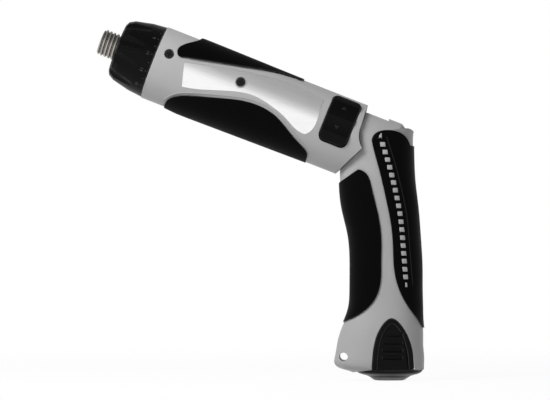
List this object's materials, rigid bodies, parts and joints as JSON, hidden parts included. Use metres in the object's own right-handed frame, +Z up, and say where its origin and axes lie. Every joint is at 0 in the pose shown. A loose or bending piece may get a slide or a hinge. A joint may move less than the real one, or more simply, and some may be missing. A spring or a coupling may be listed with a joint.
{
  "type": "electric screwdriver",
  "caption": "Cordless electric screwdriver whose clutch-fronted barrel folds on the handle between pistol and straight stances, with a side rocker switch and a slide-out battery.",
  "frame": {"origin": "middle of the handle's base, on the flat disc under the battery", "axes": "+Z up along the handle, -X towards the barrel's nose, -Y the tool's left side with the rocker switch"},
  "size_m": [0.1737, 0.0421, 0.1901],
  "materials": {
    "shell_grey": "satin",
    "grip_rubber": "matte",
    "badge_silver": "brushed",
    "black_plastic": "satin",
    "disc_grey": "satin",
    "screw_steel": "zinc",
    "spindle_steel": "turned",
    "inner_plastic": "moulded",
    "hinge_metal": "die cast",
    "motor_steel": "plated",
    "gear_metal": "sintered",
    "contact_brass": "bare",
    "cell_sleeve": "sleeved"
  },
  "bodies": {
    "handle": {"handle_shell_left": "shell_grey", "handle_shell_right": "shell_grey", "handle_grip_front_left": "grip_rubber", "handle_grip_front_right": "grip_rubber", "handle_grip_rear_left": "grip_rubber", "handle_grip_rear_right": "grip_rubber", "hinge_pin": "screw_steel", "detent_spring": "screw_steel", "handle_screws": "screw_steel", "contact_block": "inner_plastic", "contact_springs": "contact_brass"},
    "barrel": {"barrel_shell_left": "shell_grey", "barrel_shell_right": "shell_grey", "barrel_grip_upper_left": "grip_rubber", "barrel_grip_upper_right": "grip_rubber", "barrel_grip_lower_left": "grip_rubber", "barrel_grip_lower_right": "grip_rubber", "side_badge_left": "badge_silver", "side_badge_right": "badge_silver", "barrel_screws": "screw_steel", "hinge_block": "hinge_metal", "motor_can": "motor_steel", "motor_end_bell": "inner_plastic", "motor_plate": "inner_plastic", "gear_case": "inner_plastic", "ring_gear_first": "gear_metal", "ring_gear_second": "gear_metal", "clutch_pins": "screw_steel", "clutch_washer": "screw_steel", "clutch_spring": "screw_steel", "spindle_bush": "contact_brass", "switch_module": "inner_plastic", "rocker_pin": "screw_steel"},
    "rotor": {"motor_rotor": "motor_steel", "motor_pinion": "gear_metal"},
    "carrier": {"carrier_first": "gear_metal", "planet_pins_first": "screw_steel"},
    "spindle": {"spindle": "spindle_steel", "carrier_second": "gear_metal", "planet_pins_second": "screw_steel", "spindle_clip": "screw_steel"},
    "planet_first_a": {"planet_first_a": "gear_metal"},
    "planet_first_b": {"planet_first_b": "gear_metal"},
    "planet_first_c": {"planet_first_c": "gear_metal"},
    "planet_second_a": {"planet_second_a": "gear_metal"},
    "planet_second_b": {"planet_second_b": "gear_metal"},
    "planet_second_c": {"planet_second_c": "gear_metal"},
    "collar": {"clutch_collar": "black_plastic"},
    "nut": {"clutch_nut": "inner_plastic"},
    "rocker": {"rocker_switch": "black_plastic"},
    "battery": {"battery_case": "inner_plastic", "battery_cell": "cell_sleeve", "battery_cap": "black_plastic", "battery_disc": "disc_grey", "battery_terminals": "contact_brass"},
    "latch_left": {"battery_latch_left": "black_plastic"},
    "latch_right": {"battery_latch_right": "black_plastic"}
  },
  "joints": [
    {"name": "fold", "type": "hinge", "parent": "handle", "child": "barrel", "pos_m": [-0.0074, 0, 0.123], "axis": [0, 1, 0], "range_deg": [0, 68.6], "deforming": ["detent_spring"]},
    {"name": "spindle_spin", "type": "hinge", "parent": "barrel", "child": "spindle", "pos_m": [-0.0074, 0, 0.123], "axis": [-0.9311, 0, 0.3649], "continuous": true},
    {"name": "carrier_spin", "type": "hinge", "parent": "barrel", "child": "carrier", "pos_m": [-0.0074, 0, 0.123], "axis": [-0.9311, 0, 0.3649], "continuous": true},
    {"name": "rotor_spin", "type": "hinge", "parent": "barrel", "child": "rotor", "pos_m": [-0.0074, 0, 0.123], "axis": [-0.9311, 0, 0.3649], "continuous": true},
    {"name": "planet_first_a_spin", "type": "hinge", "parent": "carrier", "child": "planet_first_a", "pos_m": [-0.0074, -0.00904, 0.123], "axis": [-0.9311, 0, 0.3649], "continuous": true},
    {"name": "planet_first_b_spin", "type": "hinge", "parent": "carrier", "child": "planet_first_b", "pos_m": [-0.00454, 0.00452, 0.13029], "axis": [-0.9311, 0, 0.3649], "continuous": true},
    {"name": "planet_first_c_spin", "type": "hinge", "parent": "carrier", "child": "planet_first_c", "pos_m": [-0.01026, 0.00452, 0.11571], "axis": [-0.9311, 0, 0.3649], "continuous": true},
    {"name": "planet_second_a_spin", "type": "hinge", "parent": "spindle", "child": "planet_second_a", "pos_m": [-0.0074, -0.00904, 0.123], "axis": [-0.9311, 0, 0.3649], "continuous": true},
    {"name": "planet_second_b_spin", "type": "hinge", "parent": "spindle", "child": "planet_second_b", "pos_m": [-0.00454, 0.00452, 0.13029], "axis": [-0.9311, 0, 0.3649], "continuous": true},
    {"name": "planet_second_c_spin", "type": "hinge", "parent": "spindle", "child": "planet_second_c", "pos_m": [-0.01026, 0.00452, 0.11571], "axis": [-0.9311, 0, 0.3649], "continuous": true},
    {"name": "collar_turn", "type": "hinge", "parent": "barrel", "child": "collar", "pos_m": [-0.0074, 0, 0.123], "axis": [-0.9311, 0, 0.3649], "range_deg": [0, 280]},
    {"name": "nut_slide", "type": "slide", "parent": "barrel", "child": "nut", "axis": [0.9311, 0, -0.3649], "range_m": [0, 0.004], "deforming": ["clutch_spring"]},
    {"name": "rocker_tilt", "type": "hinge", "parent": "barrel", "child": "rocker", "pos_m": [-0.02766, -0.01223, 0.13707], "axis": [-0.9311, 0, 0.3649], "range_deg": [-5, 5], "stiffness_Nm_per_rad": 0.05},
    {"name": "battery_slide", "type": "slide", "parent": "handle", "child": "battery", "axis": [0, 0, -1], "range_m": [0, 0.088]},
    {"name": "latch_left_press", "type": "slide", "parent": "battery", "child": "latch_left", "axis": [0, 1, 0], "range_m": [0, 0.0012], "stiffness_N_per_m": 800},
    {"name": "latch_right_press", "type": "slide", "parent": "battery", "child": "latch_right", "axis": [0, -1, 0], "range_m": [0, 0.0012], "stiffness_N_per_m": 800}
  ],
  "couplings": [
    {"joint": "carrier_spin", "follows": "spindle_spin", "ratio": 4},
    {"joint": "rotor_spin", "follows": "spindle_spin", "ratio": 16},
    {"joint": "planet_first_a_spin", "follows": "spindle_spin", "ratio": -12},
    {"joint": "planet_first_b_spin", "follows": "spindle_spin", "ratio": -12},
    {"joint": "planet_first_c_spin", "follows": "spindle_spin", "ratio": -12},
    {"joint": "planet_second_a_spin", "follows": "spindle_spin", "ratio": -3},
    {"joint": "planet_second_b_spin", "follows": "spindle_spin", "ratio": -3},
    {"joint": "planet_second_c_spin", "follows": "spindle_spin", "ratio": -3},
    {"joint": "nut_slide", "follows": "collar_turn", "m_per_rad": 0.00081843}
  ]
}
